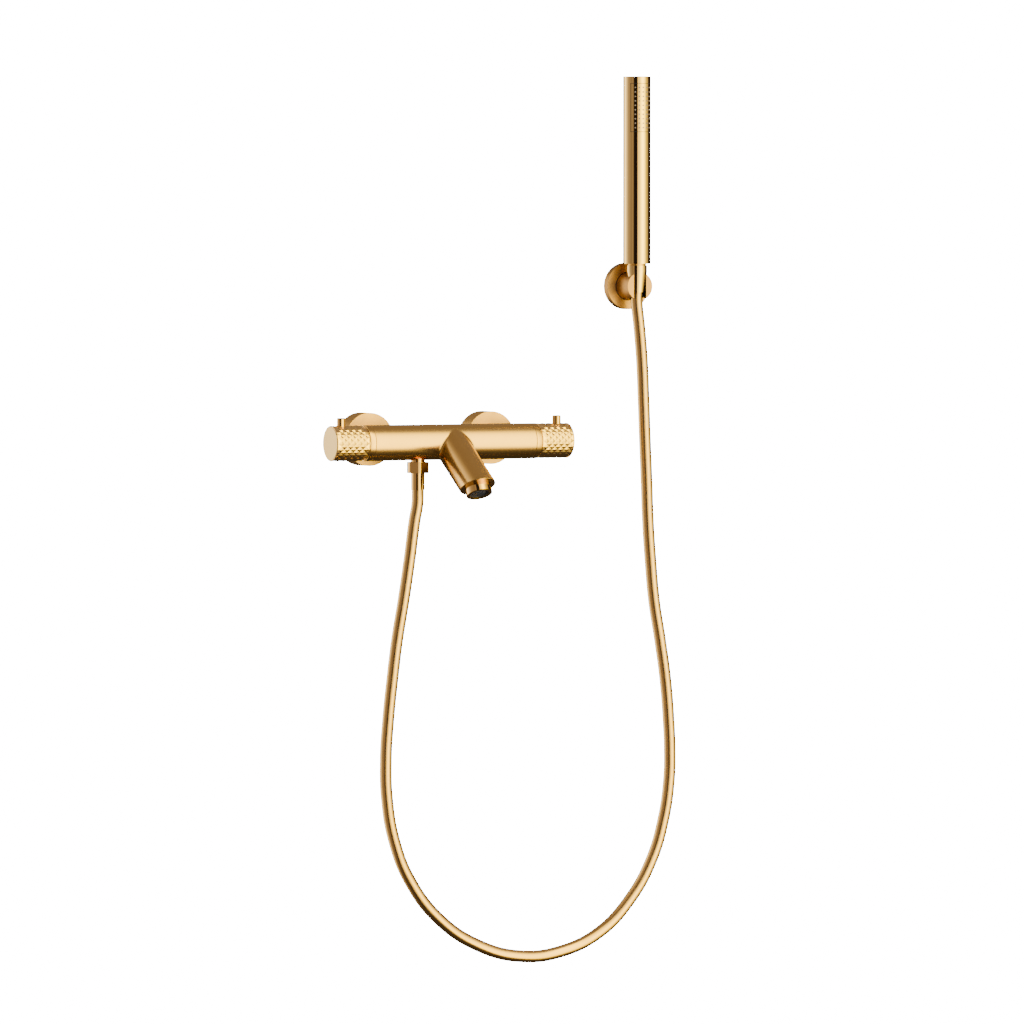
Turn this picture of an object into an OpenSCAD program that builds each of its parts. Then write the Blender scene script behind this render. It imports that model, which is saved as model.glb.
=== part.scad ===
// Exposed thermostatic bath and shower mixer on two wall inlets, with a hand
// shower in a wall bracket and a flexible hose. Millimetres, Z up. The origin is
// midway between the two wall threads, on the finished wall. The room is at -Y.

/* [Mixer bar] */
// Distance between the hot and the cold inlet
inlet_spacing = 150; // [140:1:160]
// Outside diameter of the bar and of both knobs
bar_d = 39.4; // [38.4:0.2:48]
// Length of the cast body, between the two knobs
body_len = 211; // [205:1:255]
// From the wall to the bar's axis
wall_to_axis = 72; // [70:1:88]
// How far the bar's axis hangs below the wall threads
axis_drop = 2.5; // [0:0.5:3]
// Width of the trim collar at each end of the body
collar_len = 6.5; // [4:0.5:9]

/* [Spout] */
// Outside diameter of the spout
spout_d = 38.8; // [36:0.2:39]
// From the bar's axis to the middle of the outlet face
spout_len = 84.5; // [70:0.5:110]
// Slope of the spout below horizontal
spout_slope = 34; // [25:1:40]
// Slope of the outlet's own axis below horizontal
outlet_slope = 64; // [60:1:70]
// Outside diameter of the aerator's collar
aerator_d = 28.8; // [27:0.2:32]
// How far the aerator's collar stands out of the spout
aerator_len = 9.3; // [7:0.1:12]

/* [Knobs] */
// Length of each knob, cap included
knob_len = 40.1; // [38:0.1:50]
// Wall of the knob's sleeve
knob_wall = 1.7; // [1.5:0.1:2]
// Diameter of the push button on each knob
button_d = 9.4; // [8:0.2:10]
// How far a button stands out of its knob
button_out = 8.3; // [6:0.1:10]
// From the knob's outer end to the middle of its button
button_from_end = 13.4; // [12:0.1:15]
// How far a button travels
button_travel = 3; // [2:0.5:3.5]
// Turn of the flow knob each way from off
flow_turn = 90; // [60:5:110]
// Turn of the temperature knob towards cold
cold_turn = 120; // [90:5:150]
// Turn of the temperature knob towards hot
hot_turn = 60; // [30:5:75]

/* [Wall connections] */
// Outside diameter of the two wall flanges
flange_d = 59; // [56:1:75]
// Depth of the two wall flanges
flange_depth = 24.5; // [23:0.5:25.5]
// Size across the flats of the union nuts
union_af = 30; // [29.5:0.5:34]

/* [Bracket] */
// Sideways distance of the bracket from the origin
holder_x = 255; // [240:1:320]
// Height of the bracket above the origin
holder_z = 168; // [150:1:220]
// Outside diameter of the bracket's wall cover
holder_flange_d = 52.4; // [50:0.2:66]
// Depth of the bracket's wall cover
holder_flange_depth = 9.6; // [9:0.1:12]
// Diameter of the bracket's arm
arm_d = 31.2; // [30:0.2:38]
// From the wall to the arm's front face
arm_reach = 38.4; // [37:0.1:45]
// Width of the slot that lets the hose into the arm
slot_w = 15.5; // [14.5:0.1:17]
// From the arm's front face back to the hand shower's axis
seat_back = 8.2; // [7:0.1:9]
// Distance between the bracket's two wall screws
screw_spacing = 32; // [31:0.5:33]

/* [Hand shower] */
// Outside diameter of the hand shower
handset_d = 30.9; // [29:0.1:38]
// Length of the hand shower's tube
handset_len = 210; // [175:1:260]
// Height of the spray plate
plate_h = 54; // [48:1:58]
// From the top of the hand shower down to the spray plate
plate_from_top = 8; // [5:0.5:15]
// Rows of nozzles
nozzle_rows = 10; // [6:1:10]
// Spacing of the rows
nozzle_pitch = 5; // [4:0.1:5.2]

/* [Hose] */
// Outside diameter of the hose
hose_d = 13.5; // [12:0.1:14]

/* [Hidden] */
$fn = 96;

// Clearances that tie one piece to the next
thread_gap = 0.1;
run_gap = 0.08;
seat_gap = 0.3;
clear_gap = 0.4;
eps = 0.5;

// Pipe threads, as their outside radii
half_inch_r = 20.955 / 2;
three_quarter_r = 26.441 / 2;

// Bar axis and ends
bar_r = bar_d / 2;
bar_y = -wall_to_axis;
bar_z = -axis_drop;
body_end = body_len / 2;
collar_wall = 1.6;
collar_seat_r = bar_r - collar_wall;
inlet_x = inlet_spacing / 2;

// Cartridge bores, measured inward from each end of the body
nut_len = 10;
nut_bore_r = 15;
bore_r = 14;
flow_bore = 44;
thermo_bore = 66;
neck_r = 10.95;
neck_out = 6;
cartridge_r = bore_r - thread_gap / 2;
spindle_r = 5;
disc_r = 9.4;
disc_cavity = 22;
disc_drive = 28;
disc_split = 31;
disc_base = 35.1;
base_start = 36;

// Water channels along the bar: places off the axis in Y and Z, and radii
mixed_at = [0, 9];
mixed_r = 4.5;
bath_at = [-9.5, 0];
bath_r = 4.2;
shower_at = [5, -8];
shower_r = 4;
hot_at = [11.5, 3];
hot_r = 2.6;
flute_r = 3;

// Inlet tails, nuts and unions, along Y from the wall. The boss reaches back from
// the bar, and the union, its nut and the tail are placed from the boss.
flange_wall = 1.8;
boss_out = 4.3;
boss_front = wall_to_axis - bar_r - boss_out;
tail_reach = 9;
union_front = boss_front - tail_reach;
filter_t = 2;
tail_front = union_front + filter_t;
tail_lip = 2.5;
tail_lip_r = 11.8;
tail_r = 9.9;
tail_thread = 8.5;
boss_r = 13.5;
nut_back = union_front - 8.5;
nut_web = 3;
valve_r = 6.5;
valve_len = 11;
union_collar_r = 16;
union_shoulder_r = 18.5;
union_shoulder = 12;
union_shoulder_t = 5;
wall_thread = 16;
union_bore_r = 6.5;

// Spout and outlet
spout_r = spout_d / 2;
spout_end = [0, bar_y - spout_len * cos(spout_slope), bar_z - spout_len * sin(spout_slope)];
aerator_r = aerator_d / 2;
aerator_thread_r = 13;
aerator_socket = 9;
aerator_washer_t = 1.5;
insert_r = 11.5;
waterway_r = 7;

// Shower outlet under the bar
outlet_x = -39;
bar_bottom = bar_z - bar_r;
nipple_in = 8.2;
nipple_in_r = 7.9;
nipple_neck_r = 7.6;
nipple_neck = 1.8;
nipple_thread = 7;
nipple_bore_r = 4.6;
washer_t = 2;
washer_r = 9.4;
washer_hole_r = 5.5;
hose_nut_af = 23;
hose_nut_round_r = 12.4;
ferrule_head_t = 1.6;
hose_nut_web = 1.7;
ferrule_r = hose_d / 2 + 0.7;
ferrule_len = 20.4;
nipple_top = bar_bottom + nipple_in;
nipple_end = bar_bottom - nipple_neck - nipple_thread;
ferrule_top = nipple_end - washer_t;
ferrule_shoulder = ferrule_top - ferrule_head_t;
ferrule_end = ferrule_shoulder - ferrule_len;

// Knobs, along X from the middle of the bar
knob_start = body_end + clear_gap;
knob_end = body_end + clear_gap + knob_len;
sleeve_end = knob_end - 0.4;
sleeve_r = bar_r - knob_wall;
cap_seat = sleeve_end - 2.2;
cap_r = sleeve_r + 0.3;
hub_r = 8;
hub_start = body_end + 7;
web_end = body_end + 18.5;
web_t = 4;
spindle_out = web_end - 0.5;
screw_r = 2.4;
screw_head_r = 4.2;
screw_head = 3.5;
button_x = knob_end - button_from_end;
button_r = button_d / 2;
button_rim_r = button_r + 1.3;
button_rim_top = sqrt(pow(sleeve_r, 2) - pow(button_rim_r, 2)) - 0.25;
button_rim_t = 1.5;
spring_seat = 9;
seat_t = 1.6;
seat_half_w = 5.5;
stop_ring_r = 14;
stop_lug_r = sleeve_r - 1.2;
stop_ring_t = 4.5;
stop_half = 12;
stop_play = 3;

// Hand shower, along Z
handset_y = -arm_reach + seat_back;
arm_r = arm_d / 2;
cone_low = holder_z - 6.8;
cone_out = 0.8;
cone_high = holder_z + arm_r + cone_out;
cone_top = cone_high + 6.8;
cone_low_r = 8.4;
cone_high_r = 11.6;
handset_low = cone_top + 2;
handset_high = handset_low + handset_len;
handset_r = handset_d / 2;
handset_wall = 1.5;
handset_in_r = handset_r - handset_wall;
handset_top_t = 2;
inlet_plug = 12.8;
inlet_thread = 7.4;
swivel_r = hose_d / 2 + 0.55;
swivel_head_r = 9.6;
swivel_low = cone_low - 1;
washer_low = handset_low - inlet_thread - washer_t;
shoulder_z = washer_low - 2.2;
mat_t = 1.65;
core_r = handset_in_r - mat_t;
core_bore_r = 8;
plate_half = 55;
mat_half = 62;
plate_top = handset_high - plate_from_top;
plate_low = plate_top - plate_h;
plate_gap = 0.15;
nozzle_r = 0.75;
nozzle_step = 17;
nozzle_cols = 5;
nozzle_out = 0.4;
nozzle_first = (plate_top + plate_low) / 2 - (nozzle_rows - 1) * nozzle_pitch / 2;

// Bracket
cover_r = holder_flange_d / 2;
cover_wall = 1.6;
holder_plate_t = 5;
holder_plate_r = 21;
holder_boss_r = 8;
holder_boss_end = 16;
spigot_r = 10.9;
grub_y = -12.8;
grub_r = 2.4;
wall_screw_r = 2.1;
wall_screw_in = 25;
plug_r = 3.6;

// Thermostat, from the knob inward
thermo_cavity = 20;
thermo_split = 50;
element_pin = 20;
element_collar = 33;
shuttle_start = 36;
shuttle_len = 8;
spring_end = 58;
element_end = 60;
element_r = 4.6;

// Hose route, from the ferrule under the bar to the swivel in the cone
hose_route = [[outlet_x, bar_y, ferrule_end], [-39.5, -72, -70], [-43, -71.5, -90],
  [-48, -70, -130], [-55, -69, -176], [-62, -67, -220], [-67.5, -66, -264],
  [-72, -65, -308], [-74, -63, -352], [-72, -62, -397], [-63, -61, -442],
  [-43, -59, -487], [-6, -58, -532], [45, -56, -564], [95, -55, -577.5],
  [146, -53, -575], [197, -52, -555], [236, -50.5, -520], [264, -49, -477],
  [280, -47.5, -432], [288, -46, -388], [289.5, -45, -354], [288.5, -44, -320],
  [285, -43, -275], [279, -41.5, -230], [272, -40, -185], [268, -39, -140],
  [265.5, -37.5, -95], [264.5, -36, -50], [263, -35, -5], [262, -33.5, 40],
  [260.5, -32.3, 85], [257.5, -31, 125], [holder_x, handset_y, swivel_low - 10],
  [holder_x, handset_y, swivel_low]];
hose_sides = 10;
hose_ends = [[0, 0, 1], [0, 0, 1]];

// A rod along X, at a place off the bar's axis
module rod_x(x0, x1, r, at = [0, 0]) {
  translate([x0, bar_y + at[0], bar_z + at[1]])
    rotate([0, 90, 0])
      cylinder(h = x1 - x0, r = r);
}

// A rod along Y between two distances from the wall
module rod_y(x, z, from, to, r) {
  translate([x, -from, z])
    rotate([90, 0, 0])
      cylinder(h = to - from, r = r);
}

// A rod along Z
module rod_z(x, y, z0, z1, r) {
  translate([x, y, z0])
    cylinder(h = z1 - z0, r = r);
}

// A rod in a right-hand cartridge bore, measured inward from the body's end
module in_bore(from, to, r, at = [0, 0]) {
  rod_x(body_end - to, body_end - from, r, at);
}

module left_side() {
  mirror([1, 0, 0])
    children();
}

// Local frame of the outlet: Z runs out of the spout
module at_outlet() {
  translate(spout_end)
    rotate([90 + outlet_slope, 0, 0])
      children();
}

// A hexagon along Z with its corners turned down to a round
module hex_bar(h, af, round_r) {
  intersection() {
    rotate([0, 0, 12])
      cylinder(h = h, r = af / 2 / cos(30), $fn = 6);
    cylinder(h = h, r = round_r);
  }
}

// A wedge about Z from angle a0 to a1, less than 180 degrees apart
module wedge(a0, a1, r, h) {
  far = r / cos((a1 - a0) / 2);
  linear_extrude(height = h)
    polygon([[0, 0], far * [cos(a0), sin(a0)],
      2 * far * [cos((a0 + a1) / 2), sin((a0 + a1) / 2)], far * [cos(a1), sin(a1)]]);
}

// Points of a coil about Z
function coil_at(r, len, turns, t) =
  [r * cos(360 * turns * t), r * sin(360 * turns * t), len * t];

// Points between the route's points, on a smooth curve through them
function smooth_at(p, i, t) =
  let (a = p[max(i - 1, 0)], b = p[i], c = p[min(i + 1, len(p) - 1)],
    d = p[min(i + 2, len(p) - 1)])
  0.5 * (2 * b + (c - a) * t + (2 * a - 5 * b + 4 * c - d) * t * t
    + (3 * b - a - 3 * c + d) * t * t * t);
function smooth(p) =
  [for (i = [0 : len(p) - 2]) each [p[i], smooth_at(p, i, 0.5)], p[len(p) - 1]];

function unit(v) = v / norm(v);
function heading(p, i) = unit(p[min(i + 1, len(p) - 1)] - p[max(i - 1, 0)]);
function side_of(t, near) = unit(cross(t, near));

// A closed tube of round section swept along points; near is never along the path
module swept(p, r, sides, near, first, last) {
  n = len(p);
  pts = [for (i = [0 : n - 1])
    let (t = i == 0 ? first : i == n - 1 ? last : heading(p, i),
      u = side_of(t, near), v = cross(u, t))
    for (k = [0 : sides - 1])
      p[i] + r * (cos(360 * k / sides) * u + sin(360 * k / sides) * v)];
  walls = [for (i = [0 : n - 2]) for (k = [0 : sides - 1])
    [i * sides + k, (i + 1) * sides + k,
      (i + 1) * sides + (k + 1) % sides, i * sides + (k + 1) % sides]];
  polyhedron(points = pts, convexity = 10, faces = concat(walls,
    [[for (k = [0 : sides - 1]) k]],
    [[for (k = [sides - 1 : -1 : 0]) (n - 1) * sides + k]]));
}

// A coil spring on Z, with its wire inside the stated length
module coil_spring(r, wire_r, length, turns) {
  n = turns * 14;
  pts = [for (i = [0 : n]) coil_at(r, length - 2 * wire_r, turns, i / n)];
  translate([0, 0, wire_r])
    swept(pts, wire_r, 6, [0, 0, 1], heading(pts, 0), heading(pts, n));
}

module channels() {
  rod_x(-body_end + flow_bore - eps, body_end - thermo_bore + eps, mixed_r, mixed_at);
  rod_x(-body_end + flow_bore - eps, body_end - thermo_bore + eps, hot_r, hot_at);
  rod_x(-body_end + flow_bore - eps, 3, bath_r, bath_at);
  rod_x(-body_end + flow_bore - eps, outlet_x + 2, shower_r, shower_at);
  rod_z(outlet_x, bar_y, nipple_top - eps, bar_z - 3, nipple_bore_r);
}

module mixer_body() {
  color("#b9854b")
    difference() {
      union() {
        rod_x(-body_end + collar_len, body_end - collar_len, bar_r);
        rod_x(-body_end, body_end, collar_seat_r);
        for (x = [-inlet_x, inlet_x])
          rod_y(x, bar_z, boss_front, wall_to_axis - bore_r - 2, boss_r);
        difference() {
          translate([0, bar_y, bar_z])
            rotate([90 + spout_slope, 0, 0])
              cylinder(h = spout_len + spout_d, r = spout_r);
          at_outlet()
            translate([-spout_d, -2 * spout_d, 0])
              cube([2 * spout_d, 4 * spout_d, 2 * spout_d]);
        }
      }
      for (s = [-1, 1])
        rod_x(s > 0 ? body_end - nut_len : -body_end - eps,
          s > 0 ? body_end + eps : -body_end + nut_len, nut_bore_r);
      rod_x(-body_end + nut_len - eps, -body_end + flow_bore, bore_r);
      rod_x(body_end - thermo_bore, body_end - nut_len + eps, bore_r);
      channels();
      for (x = [-inlet_x, inlet_x]) {
        rod_y(x, bar_z, boss_front - eps, boss_front + tail_thread, tail_r + thread_gap);
        rod_y(x, bar_z, boss_front, wall_to_axis - bore_r / 2, valve_r - 1);
      }
      translate([0, bar_y, bar_z])
        rotate([90 + spout_slope, 0, 0])
          translate([0, 0, 8])
            cylinder(h = spout_len - 13.5, r = waterway_r);
      at_outlet()
        translate([0, 0, -aerator_socket])
          cylinder(h = aerator_socket + eps, r = aerator_thread_r + thread_gap);
      rod_z(outlet_x, bar_y, bar_bottom - eps, nipple_top, nipple_in_r + thread_gap);
    }
}

module body_collar() {
  difference() {
    rod_x(body_end - collar_len, body_end, bar_r);
    rod_x(body_end - collar_len - eps, body_end + eps, collar_seat_r + thread_gap / 2);
  }
}

module body_collars() {
  color("#d8a869") {
    body_collar();
    left_side() body_collar();
  }
}

module inlet_tail() {
  color("#c8a05a")
    difference() {
      union() {
        rod_y(inlet_x, bar_z, tail_front, boss_front + tail_thread, tail_r);
        rod_y(inlet_x, bar_z, tail_front, tail_front + tail_lip, tail_lip_r);
      }
      rod_y(inlet_x, bar_z, tail_front - eps, tail_front + valve_len + 1,
        valve_r + thread_gap);
      rod_y(inlet_x, bar_z, tail_front, boss_front + tail_thread + eps, valve_r - 1.5);
    }
}

module inlet_tail_left() {
  left_side() inlet_tail();
}

module inlet_tail_right() {
  inlet_tail();
}

module check_valve() {
  difference() {
    rod_y(inlet_x, bar_z, tail_front + 1, tail_front + valve_len + 1, valve_r);
    rod_y(inlet_x, bar_z, tail_front, tail_front + 4, 4.5);
    rod_y(inlet_x, bar_z, tail_front + 7, tail_front + valve_len + 2, 4.5);
    for (a = [0 : 90 : 270])
      translate([inlet_x + 2.6 * cos(a), 0, bar_z + 2.6 * sin(a)])
        rod_y(0, 0, tail_front, tail_front + valve_len + 2, 1.2);
  }
}

module check_valves() {
  color("#e8e8e4") {
    check_valve();
    left_side() check_valve();
  }
}

module inlet_filter() {
  difference() {
    rod_y(inlet_x, bar_z, union_front, union_front + filter_t, tail_lip_r);
    for (a = [0 : 60 : 300])
      translate([inlet_x + 4.4 * cos(a), 0, bar_z + 4.4 * sin(a)])
        rod_y(0, 0, union_front - eps, union_front + filter_t + eps, 1.7);
  }
}

module inlet_filters() {
  color("#2b2b2b") {
    inlet_filter();
    left_side() inlet_filter();
  }
}

module union_nut() {
  color("#c99a5b")
    difference() {
      translate([inlet_x, -nut_back, bar_z])
        rotate([90, 0, 0])
          hex_bar(tail_front + tail_lip + nut_web - nut_back, union_af, union_af * 0.56);
      rod_y(inlet_x, bar_z, nut_back - eps, tail_front + tail_lip,
        three_quarter_r + thread_gap);
      rod_y(inlet_x, bar_z, nut_back, tail_front + tail_lip + nut_web + eps,
        tail_r + 2 * thread_gap);
    }
}

module union_nut_left() {
  left_side() union_nut();
}

module union_nut_right() {
  union_nut();
}

module s_union() {
  color("#c8a05a")
    difference() {
      union() {
        rod_y(inlet_x, bar_z, flange_depth, union_front, three_quarter_r);
        rod_y(inlet_x, 0, union_shoulder - eps, flange_depth + 1.5, union_collar_r);
        rod_y(inlet_x, 0, union_shoulder - union_shoulder_t, union_shoulder,
          union_shoulder_r);
        rod_y(inlet_x, 0, -wall_thread, union_shoulder - eps, half_inch_r);
      }
      rod_y(inlet_x, bar_z, union_shoulder, union_front + eps, union_bore_r + 1);
      rod_y(inlet_x, 0, -wall_thread - eps, union_shoulder + 2, union_bore_r);
    }
}

module s_union_left() {
  left_side() s_union();
}

module s_union_right() {
  s_union();
}

module wall_flange() {
  color("#d0a061")
    difference() {
      rod_y(inlet_x, 0, 0, flange_depth, flange_d / 2);
      difference() {
        rod_y(inlet_x, 0, -eps, flange_depth - flange_wall, flange_d / 2 - flange_wall);
        rod_y(inlet_x, 0, union_shoulder, flange_depth, union_collar_r + 3.5);
      }
      rod_y(inlet_x, 0, -eps, flange_depth + eps, union_collar_r + thread_gap);
    }
}

module wall_flange_left() {
  left_side() wall_flange();
}

module wall_flange_right() {
  wall_flange();
}

// Cartridge parts are drawn at the right-hand end and mirrored where needed
module cartridge_nut() {
  difference() {
    in_bore(0, nut_len, nut_bore_r - thread_gap / 2);
    in_bore(-eps, nut_len + eps, neck_r + thread_gap);
  }
}

module flow_cartridge() {
  color("#c8a05a")
    left_side()
      difference() {
        union() {
          in_bore(nut_len, base_start, cartridge_r);
          in_bore(-neck_out, nut_len, neck_r);
        }
        in_bore(-neck_out - eps, disc_cavity + eps, spindle_r + run_gap);
        in_bore(disc_cavity, base_start + eps, disc_r + thread_gap);
        in_bore(disc_cavity + 4, base_start + eps, flute_r, [bore_r, 3]);
      }
}

module flow_cartridge_nut() {
  color("#b98f4e")
    left_side() cartridge_nut();
}

module ports(from, to, r) {
  for (at = [mixed_at, bath_at, shower_at])
    in_bore(from, to, r, 6.4 * unit(at));
}

module flow_disc_fixed() {
  color("#f1efe8")
    left_side()
      difference() {
        in_bore(disc_split + thread_gap, disc_base, disc_r);
        ports(disc_split, disc_base + eps, 2);
      }
}

module flow_disc_moving() {
  color("#f1efe8")
    left_side()
      difference() {
        in_bore(disc_drive, disc_split, disc_r - 0.3);
        in_bore(disc_split - 1.5, disc_split + eps, 2, [0, 6.4]);
        in_bore(disc_split - 1.5, disc_split + eps, 2, [-4.5, 4.5]);
      }
}

module flow_cartridge_base() {
  color("#3d3d3d")
    left_side()
      difference() {
        union() {
          in_bore(base_start, flow_bore, cartridge_r);
          in_bore(disc_base, base_start + eps, disc_r - 0.1);
        }
        ports(disc_base - eps, flow_bore + eps, 2);
        in_bore(base_start - eps, flow_bore + eps, flute_r, [bore_r, 3]);
      }
}

// A spindle reaches from inside its cartridge out into the knob's hub
module spindle_shaft(to) {
  difference() {
    rod_x(body_end - to, spindle_out, spindle_r);
    rod_x(spindle_out - 12, spindle_out + eps, screw_r);
  }
}

module flow_spindle() {
  color("#c8a05a")
    left_side() {
      spindle_shaft(disc_drive - 1);
      in_bore(disc_cavity + thread_gap, disc_drive, disc_r - 0.3);
    }
}

// Stop lug that fills the turn the knob must not make; angles about the bar, from its
// top, positive from the left hand side of the wall's view
module stop_ring(free_from, free_to) {
  start = free_to + stop_half + stop_play;
  end = 360 + free_from - stop_half - stop_play;
  difference() {
    union() {
      rod_x(body_end, body_end + stop_ring_t, stop_ring_r);
      intersection() {
        rod_x(body_end, body_end + stop_ring_t, stop_lug_r);
        translate([body_end, bar_y, bar_z])
          rotate([0, 90, 0])
            wedge(180 + start, 180 + end, 2 * bar_r, stop_ring_t);
      }
    }
    rod_x(body_end - eps, body_end + stop_ring_t + eps, neck_r + thread_gap);
  }
}

module flow_stop_ring() {
  color("#e8e8e4")
    left_side() stop_ring(-flow_turn, flow_turn);
}

module temp_stop_ring() {
  color("#e8e8e4")
    stop_ring(-cold_turn, hot_turn);
}

// Sleeve with its web, hub, stop lug and the button's spring seat
module knob_sleeve() {
  difference() {
    rod_x(knob_start, sleeve_end, bar_r);
    rod_x(knob_start - eps, web_end - web_t, sleeve_r);
    rod_x(web_end, sleeve_end + eps, sleeve_r);
    rod_x(web_end - web_t - eps, web_end + eps, hub_r - 1);
    rod_x(cap_seat, sleeve_end + eps, cap_r + thread_gap);
    rod_z(button_x, bar_y, bar_z + sleeve_r - 3, bar_z + bar_r + eps,
      button_r + run_gap);
  }
  difference() {
    rod_x(hub_start, web_end, hub_r);
    rod_x(hub_start - eps, web_end + eps, spindle_r);
  }
  translate([web_end - 0.5, bar_y - seat_half_w, bar_z + spring_seat - seat_t])
    cube([button_x + button_rim_r - web_end, 2 * seat_half_w, seat_t]);
  intersection() {
    difference() {
      rod_x(knob_start + 0.4, body_end + stop_ring_t, sleeve_r + 0.3);
      rod_x(knob_start, body_end + stop_ring_t + eps, stop_ring_r + clear_gap);
    }
    translate([body_end, bar_y, bar_z])
      rotate([0, 90, 0])
        wedge(180 - stop_half, 180 + stop_half, 2 * bar_r, 2 * stop_ring_t);
  }
}

module flow_knob() {
  color("#e0b878")
    left_side() knob_sleeve();
}

module temp_knob() {
  color("#e0b878")
    knob_sleeve();
}

module flow_knob_cap() {
  color("#e6d3bc")
    left_side() rod_x(cap_seat, knob_end, cap_r);
}

module temp_knob_cap() {
  color("#e6d3bc")
    rod_x(cap_seat, knob_end, cap_r);
}

module knob_screw() {
  difference() {
    union() {
      rod_x(spindle_out - 11, web_end, screw_r);
      rod_x(web_end, web_end + screw_head, screw_head_r);
    }
    translate([web_end + 1.2, bar_y, bar_z])
      rotate([0, 90, 0])
        cylinder(h = screw_head, r = 2.3, $fn = 6);
  }
}

module flow_knob_screw() {
  color("#9a9a9a")
    left_side() knob_screw();
}

module temp_knob_screw() {
  color("#9a9a9a")
    knob_screw();
}

module knob_button() {
  top = bar_z + bar_r + button_out;
  rod_z(button_x, bar_y, bar_z + button_rim_top - button_rim_t,
    bar_z + button_rim_top, button_rim_r);
  rod_z(button_x, bar_y, bar_z + button_rim_top - eps, top - 0.8, button_r);
  translate([button_x, bar_y, top - 0.8])
    cylinder(h = 0.8, r1 = button_r, r2 = button_r - 0.8);
}

module flow_button() {
  color("#c99a5b")
    left_side() knob_button();
}

module temp_button() {
  color("#c99a5b")
    knob_button();
}

module knob_spring() {
  translate([button_x, bar_y, bar_z + spring_seat])
    coil_spring(3.6, 0.35, button_rim_top - button_rim_t - spring_seat, 4);
}

module flow_button_spring() {
  color("#a8a8a8")
    left_side() knob_spring();
}

module temp_button_spring() {
  color("#a8a8a8")
    knob_spring();
}

module thermostat_cartridge() {
  color("#c8a05a")
    difference() {
      union() {
        in_bore(nut_len, thermo_split, cartridge_r);
        in_bore(-neck_out, nut_len, neck_r);
      }
      in_bore(-neck_out - eps, thermo_cavity + eps, spindle_r + run_gap);
      in_bore(thermo_cavity, thermo_split + eps, disc_r + 0.6);
      translate([body_end - 30.5, bar_y, bar_z])
        rotate([90, 0, 0])
          translate([0, 0, -bore_r - 1])
            cylinder(h = 2 * bore_r + 2, r = 3);
      translate([body_end - 43, bar_y, bar_z - bore_r - 1])
        cylinder(h = 2 * bore_r + 2, r = 2.5);
    }
}

module thermostat_nut() {
  color("#b98f4e")
    cartridge_nut();
}

module temp_spindle() {
  color("#c8a05a")
    difference() {
      union() {
        spindle_shaft(thermo_cavity + 4);
        in_bore(thermo_cavity + thread_gap, thermo_cavity + 4, 8);
      }
      in_bore(element_pin - 5, thermo_cavity + 4 + eps, 3.6);
    }
}

module thermostat_element() {
  color("#b87333") {
    in_bore(element_pin, element_collar, 3);
    in_bore(element_collar, shuttle_start, 6.5);
    in_bore(shuttle_start - 1, element_end, element_r);
  }
}

module thermostat_shuttle() {
  color("#d9d9d2")
    difference() {
      in_bore(shuttle_start, shuttle_start + shuttle_len, disc_r + 0.2);
      in_bore(shuttle_start - eps, shuttle_start + shuttle_len + eps,
        element_r + thread_gap);
    }
}

module thermostat_spring() {
  color("#a8a8a8")
    translate([body_end - spring_end, bar_y, bar_z])
      rotate([0, 90, 0])
        coil_spring(7, 0.7, spring_end - shuttle_start - shuttle_len, 4);
}

module thermostat_base() {
  color("#3d3d3d")
    difference() {
      in_bore(thermo_split, thermo_bore, cartridge_r);
      in_bore(thermo_split - eps, spring_end, disc_r + 0.6);
      in_bore(spring_end - eps, thermo_bore + eps, element_r + 0.7);
      for (a = [0 : 60 : 300])
        in_bore(spring_end - eps, thermo_bore + eps, 1.6, 8.6 * [cos(a), sin(a)]);
    }
}

// Aerator, in the outlet's frame
module aerator_housing() {
  color("#d3a15c")
    at_outlet()
      difference() {
        union() {
          translate([0, 0, -aerator_socket + aerator_washer_t])
            cylinder(h = aerator_socket, r = aerator_thread_r);
          cylinder(h = aerator_len, r = aerator_r);
        }
        translate([0, 0, -aerator_socket])
          cylinder(h = aerator_socket + aerator_len - 1.3, r = insert_r + thread_gap);
        cylinder(h = aerator_len + eps, r = insert_r - 0.7);
      }
}

module aerator_insert() {
  color("#4a4a48")
    at_outlet()
      difference() {
        translate([0, 0, -6])
          cylinder(h = aerator_len - 1.3 + 6, r = insert_r);
        translate([0, 0, -4])
          cylinder(h = aerator_len - 3.3 + 2, r = insert_r - 1.5);
        for (a = [0 : 45 : 315])
          translate([6.5 * cos(a), 6.5 * sin(a), -7])
            cylinder(h = aerator_len + 8, r = 1.4);
      }
}

module aerator_washer() {
  color("#2b2b2b")
    at_outlet()
      translate([0, 0, -aerator_socket])
        difference() {
          cylinder(h = aerator_washer_t, r = aerator_thread_r);
          translate([0, 0, -eps])
            cylinder(h = aerator_washer_t + 2 * eps, r = insert_r - 1);
        }
}

// Shower outlet and the hose's lower fitting
module outlet_nipple() {
  color("#c8a05a")
    difference() {
      union() {
        rod_z(outlet_x, bar_y, bar_bottom, nipple_top, nipple_in_r);
        rod_z(outlet_x, bar_y, bar_bottom - nipple_neck, bar_bottom + eps,
          nipple_neck_r);
        rod_z(outlet_x, bar_y, nipple_end, bar_bottom - nipple_neck, half_inch_r);
      }
      rod_z(outlet_x, bar_y, nipple_end - eps, nipple_top + eps, nipple_bore_r);
    }
}

module hose_nut() {
  low = ferrule_shoulder - hose_nut_web;
  color("#c58f45")
    difference() {
      translate([outlet_x, bar_y, low])
        hex_bar(bar_bottom - nipple_neck - thread_gap - low, hose_nut_af,
          hose_nut_round_r);
      rod_z(outlet_x, bar_y, ferrule_shoulder, bar_bottom, half_inch_r + thread_gap);
      rod_z(outlet_x, bar_y, low - eps, ferrule_shoulder + eps, ferrule_r + thread_gap);
    }
}

module hose_washer() {
  color("#2b2b2b")
    difference() {
      rod_z(outlet_x, bar_y, ferrule_top, nipple_end, washer_r);
      rod_z(outlet_x, bar_y, ferrule_top - eps, nipple_end + eps, washer_hole_r);
    }
}

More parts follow.
